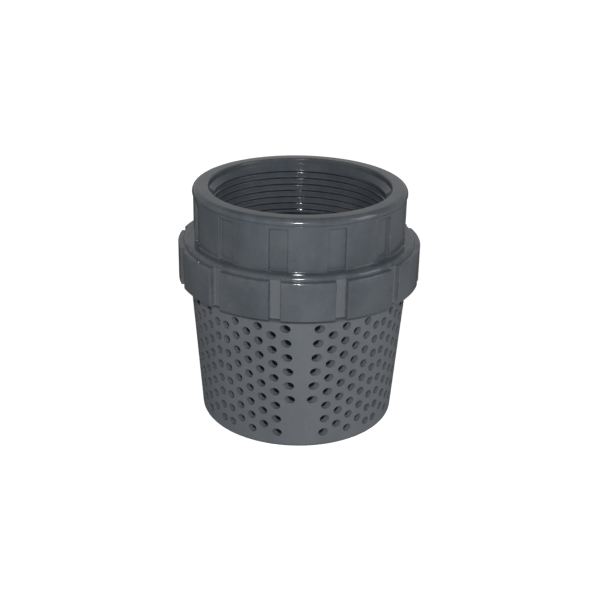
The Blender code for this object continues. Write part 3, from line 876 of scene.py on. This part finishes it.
def pvc(name, colour, roughness, warm, mottle=0.1, peel=0.02 * MM, edge_round=0.0, bore=None):
    """Moulded grey PVC-U: cloudiness and flow streaks, dust, handling marks in the gloss, and orange peel.

    warm is the colour of its paler clouds, and mottle the depth of its mottling. Painted shade darkens what
    the mesh marks as shaded. In a piece with a tapered bore, given as its radius at the origin's height and
    the growth of that radius with height, it paints shade in the bore and a shadow on the outside close under
    the ring instead.
    """
    s = Shader(name)
    cloud = s.noise(60.0, detail=6.0, roughness=0.66)
    streak = s.noise(90.0, detail=3.0, stretch=(1, 1, 0.25), distortion=0.6)
    speck = s.noise(2600.0, detail=2.0)
    dark = tuple(c * (1 - mottle) for c in colour)
    light = tuple(c * (1 + mottle) for c in colour)
    shade = s.blend(s.span(s.maths("ADD", cloud, streak), 0.7, 1.3), dark, light)
    shade = s.blend(s.span(cloud, 0.48, 0.7, 0.0, 0.55), shade, warm)
    dust = s.span(s.noise(750.0, detail=3.0, roughness=0.6), 0.6, 0.72, 0.0, 0.3)
    dust = s.maths("MULTIPLY", dust, s.span(cloud, 0.4, 0.6))
    shade = s.blend(dust, shade, tuple(c * 1.9 for c in colour))
    shade = s.blend(s.span(speck, 0.35, 0.75, 0.0, 0.25), shade, tuple(c * 1.35 for c in colour))
    # Flute floors painted paler: partly a paler, duller finish, partly painted light in place of the flash
    # that fills the flutes
    flute = s.attribute("flute")
    grey = sum(colour) / 3
    paler = tuple(grey * (0.52 + 0.48 * c / colour[1]) * 1.6 for c in colour)
    shade = s.blend(flute, shade, paler)
    patches = s.span(s.noise(140.0, detail=3.0), 0.3, 0.7, 0.7, 0.95)
    # The basket gets painted shade in its bore and a painted shadow close under the ring; other pieces get
    # painted shade where the mesh marks it
    if bore:
        radius, z = s.round_axis()
        full, none = (bore[0] + depth for depth in PAINTED_SHADE_IN_BORE)
        inside = s.span(s.maths("SUBTRACT", radius, s.maths("MULTIPLY", z, bore[1])), full, none, 1.0, 0.0)
        near, far = (RING_BOTTOM - depth for depth in PAINTED_SHADOW_UNDER_RING)
        under_ring = s.span(z, far, near, 0.0, 0.75)
        painted_shade = s.maths("MAXIMUM", s.maths("MULTIPLY", under_ring, patches), inside)
    else:
        painted_shade = s.maths("MULTIPLY", s.attribute("painted_shade"), patches)
    # Blends in the painted shade and shadow
    shade = s.blend(painted_shade, shade, PAINTED_SHADE_COLOUR)
    rub = s.span(s.noise(260.0, detail=4.0, roughness=0.65), 0.42, 0.7)
    rub = s.maths("MULTIPLY", s.attribute("edge"), rub)
    shade = s.blend(s.maths("MULTIPLY", rub, 0.3), shade, tuple(c * 2.0 for c in colour))
    gloss = s.noise(70.0, detail=5.0, roughness=0.6, distortion=0.4)
    scratches = s.noise(420.0, detail=2.0, stretch=(1, 1, 0.06), distortion=0.3)
    gloss = s.maths("ADD", s.span(gloss, 0.3, 0.7, roughness - 0.03, roughness + 0.05),
                    s.span(scratches, 0.62, 0.75, 0.0, 0.06))
    duller = s.maths("ADD", s.maths("MULTIPLY", rub, 0.12), s.maths("MULTIPLY", flute, 0.15))
    gloss = s.maths("ADD", gloss, duller)
    start = s.node("Bevel", {"Radius": edge_round}, samples=6).outputs["Normal"] if edge_round else None
    wavy = s.bump(s.noise(330.0, detail=1.0), peel, normal=start)
    grainy = s.bump(speck, 0.006 * MM, normal=wavy)
    return s.finish(base_color=shade, roughness=gloss, normal=grainy)


def rubber(name):
    """Black rubber with a patchy bloom."""
    s = Shader(name)
    bloom = s.noise(120.0, detail=4.0, roughness=0.6)
    fine = s.noise(3000.0, detail=2.0)
    shade = s.blend(s.span(bloom, 0.35, 0.7), (0.011, 0.011, 0.012), (0.026, 0.026, 0.028))
    return s.finish(base_color=shade, roughness=s.span(bloom, 0.3, 0.7, 0.5, 0.68),
                    normal=s.bump(fine, 0.008 * MM))


def acetal(name):
    """Off-white acetal with rings from the lathe."""
    s = Shader(name)
    tone = s.noise(200.0, detail=3.0)
    rings = s.noise(500.0, detail=2.0, stretch=(0.05, 0.05, 4.0))
    shade = s.blend(s.span(tone, 0.3, 0.7), (0.68, 0.665, 0.615), (0.76, 0.75, 0.71))
    return s.finish(base_color=shade, roughness=s.span(rings, 0.3, 0.7, 0.36, 0.5),
                    normal=s.bump(rings, 0.006 * MM))


def steel(name, marks):
    """Stainless steel with the fine rings that a lathe leaves: noise over the radius and the height."""
    s = Shader(name)
    radius, z = s.round_axis()
    place = s.node("CombineXYZ", {0: radius, 1: 0.0, 2: z}).outputs[0]
    inputs = {"Vector": place, "Scale": marks, "Detail": 4.0, "Roughness": 0.7}
    rings = s.node("TexNoise", inputs).outputs["Fac"]
    tone = s.noise(150.0, detail=3.0)
    shade = s.blend(s.span(tone, 0.3, 0.7), (0.5, 0.5, 0.495), (0.62, 0.615, 0.6))
    shade = s.blend(s.span(rings, 0.45, 0.75, 0.0, 0.4), shade, (0.4, 0.4, 0.4))
    rough = s.maths("ADD", s.span(rings, 0.3, 0.7, 0.2, 0.34), s.span(tone, 0.4, 0.7, 0.0, 0.06))
    return s.finish(base_color=shade, metallic=1.0, roughness=rough, normal=s.bump(rings, 0.004 * MM))


# Studio


def backdrop():
    """A plain pale floor that curves up into a wall all round. The sky lights the object through it."""
    corners = [(0, 0, 0), (BACKDROP_R, 0, BACKDROP_CURVE), (BACKDROP_R, BACKDROP_H, 0)]
    surface = Surface()
    headings = all_round(96)
    surface.join_all([surface.ring(headings, r, z) for r, z in rounded(corners, closed=False, steps=12)])
    floor = surface.made("studio_floor")
    floor.data.shade_smooth()
    floor.visible_glossy = False
    floor.visible_diffuse = False
    floor.visible_shadow = False
    s = Shader("studio_floor")
    tone = s.noise(3.0, detail=2.0)
    shade = s.blend(s.span(tone, 0.3, 0.7), (0.86, 0.86, 0.86), (0.88, 0.88, 0.88))
    glow = {"emission_color": (1, 1, 1, 1), "emission_strength": FLOOR_GLOW}
    floor.data.materials.append(s.finish(base_color=shade, roughness=0.9, specular_ior_level=0.0, **glow))


def area_light(name, place, watts, size, height=None):
    """A white lamp, round or with a height, that points at the object's middle."""
    data = bpy.data.lights.new(name, "AREA")
    data.shape = "RECTANGLE" if height else "DISK"
    data.size = size
    if height:
        data.size_y = height
    data.energy = watts
    lamp = bpy.data.objects.new(name, data)
    lamp.location = place
    lamp.rotation_mode = "QUATERNION"
    lamp.rotation_quaternion = (MIDDLE - Vector(place)).to_track_quat("-Z", "Y")
    bpy.context.scene.collection.objects.link(lamp)
    return lamp


def sky():
    """Soft light from all round, in a band below the horizon and one above it, with a dark ceiling."""
    world = bpy.data.worlds.new("studio")
    world.use_nodes = True
    s = Nodes(world.node_tree)
    split = s.node("SeparateXYZ", {0: s.node("TexCoord").outputs["Generated"]})
    x, y, z = (split.outputs[axis] for axis in "XYZ")
    level_r2 = s.maths("ADD", s.maths("MULTIPLY", x, x), s.maths("MULTIPLY", y, y))
    level_r2 = s.maths("MAXIMUM", level_r2, 1e-6)
    ground = s.span(z, -0.12, 0.12, 1.0, 0.0, smooth=True)
    over_horizon = s.span(z, -0.12, 0.12, smooth=True)
    walls = s.maths("MULTIPLY", over_horizon, s.span(z, 0.5, 0.85, 1.0, 0.0, smooth=True))
    light = 0.0
    for axis, way, below, above in SKY_SIDES:
        towards = s.maths("MAXIMUM", s.maths("MULTIPLY", split.outputs[axis], way), 0.0)
        share = s.maths("DIVIDE", s.maths("MULTIPLY", towards, towards), level_r2)
        band = s.maths("ADD", s.maths("MULTIPLY", ground, below), s.maths("MULTIPLY", walls, above))
        light = s.maths("ADD", light, s.maths("MULTIPLY", share, band))
    background = s.tree.nodes["Background"]
    background.inputs["Color"].default_value = (1, 1, 1, 1)
    s.set(background.inputs["Strength"], light)
    bpy.context.scene.world = world


def camera():
    data = bpy.data.cameras.new("camera")
    data.sensor_width = SENSOR_MM
    data.lens = LENS
    data.clip_start = 0.01
    data.clip_end = 20.0
    obj = bpy.data.objects.new("camera", data)
    obj.location = MIDDLE + DISTANCE * Vector((0, -math.cos(ELEVATION), math.sin(ELEVATION)))
    obj.rotation_mode = "QUATERNION"
    look = (AIM - obj.location).to_track_quat("-Z", "Y")
    obj.rotation_quaternion = look @ Matrix.Rotation(ROLL, 3, "Z").to_quaternion()
    bpy.context.scene.collection.objects.link(obj)
    bpy.context.scene.camera = obj
    return obj


def studio():
    backdrop()
    sky()
    eye = camera()
    over_lens = eye.rotation_quaternion @ Vector((0, FLASH_ABOVE_LENS, 0))
    area_light("flash", eye.location + over_lens, watts=0.78, size=0.024)
    area_light("window", (1.1, -0.35, 0.5), watts=2.4, size=0.5, height=0.7)
    back = area_light("back_fill", (0, 1.6, 0.2), watts=9.0, size=0.8, height=0.4)
    back.visible_glossy = False
    back.visible_camera = False


def main():
    housing_pvc = pvc("housing_pvc", colour=(0.081, 0.093, 0.108), roughness=0.09,
                      warm=(0.116, 0.118, 0.119), mottle=0.22, peel=0.04 * MM)
    bore = (basket_r(0.0) - BASKET_WALL, basket_r(1.0) - basket_r(0.0))
    basket_pvc = pvc("basket_pvc", colour=(0.13, 0.144, 0.16), roughness=0.4, warm=(0.145, 0.15, 0.157),
                     peel=0.01 * MM, edge_round=0.18 * MM, bore=bore)
    carrier_pvc = pvc("carrier_pvc", colour=(0.09, 0.1, 0.115), roughness=0.36, warm=(0.11, 0.118, 0.125))
    disc_pvc = pvc("disc_pvc", colour=(0.085, 0.095, 0.11), roughness=0.34, warm=(0.11, 0.115, 0.12))
    epdm = rubber("epdm")
    bright = steel("stainless_turned", 4200.0)
    wire = steel("stainless_wire", 2500.0)
    make_housing(housing_pvc)
    make_basket(basket_pvc)
    make_carrier(carrier_pvc)
    make_o_ring(epdm)
    make_bush(acetal("acetal"))
    make_stem(bright)
    make_disc(disc_pvc)
    make_ring("seal_ring", SEAL_R, SEAL_LOW, SEAL_H, 0.3 * MM, "disc_seal", epdm)
    make_ring("clamp_plate", PLATE_R, PLATE_LOW, PLATE_H, 0.2 * MM, "seal_clamp_plate", bright)
    make_ring("disc_washer", WASHER_R, WASHER_LOW, WASHER_H, 0.15 * MM, "top_washer", bright)
    make_nut("disc_nut", TOP_NUT_LOW, "top_nut", bright)
    make_cup(bright)
    make_nut("cup_nut", STEM_NUT_LOW, "stem_nut", bright)
    make_nut("cup_lock_nut", LOCK_NUT_LOW, "stem_lock_nut", bright)
    make_spring(wire)
    studio()
    bpy.context.scene.view_settings.view_transform = "Standard"


main()
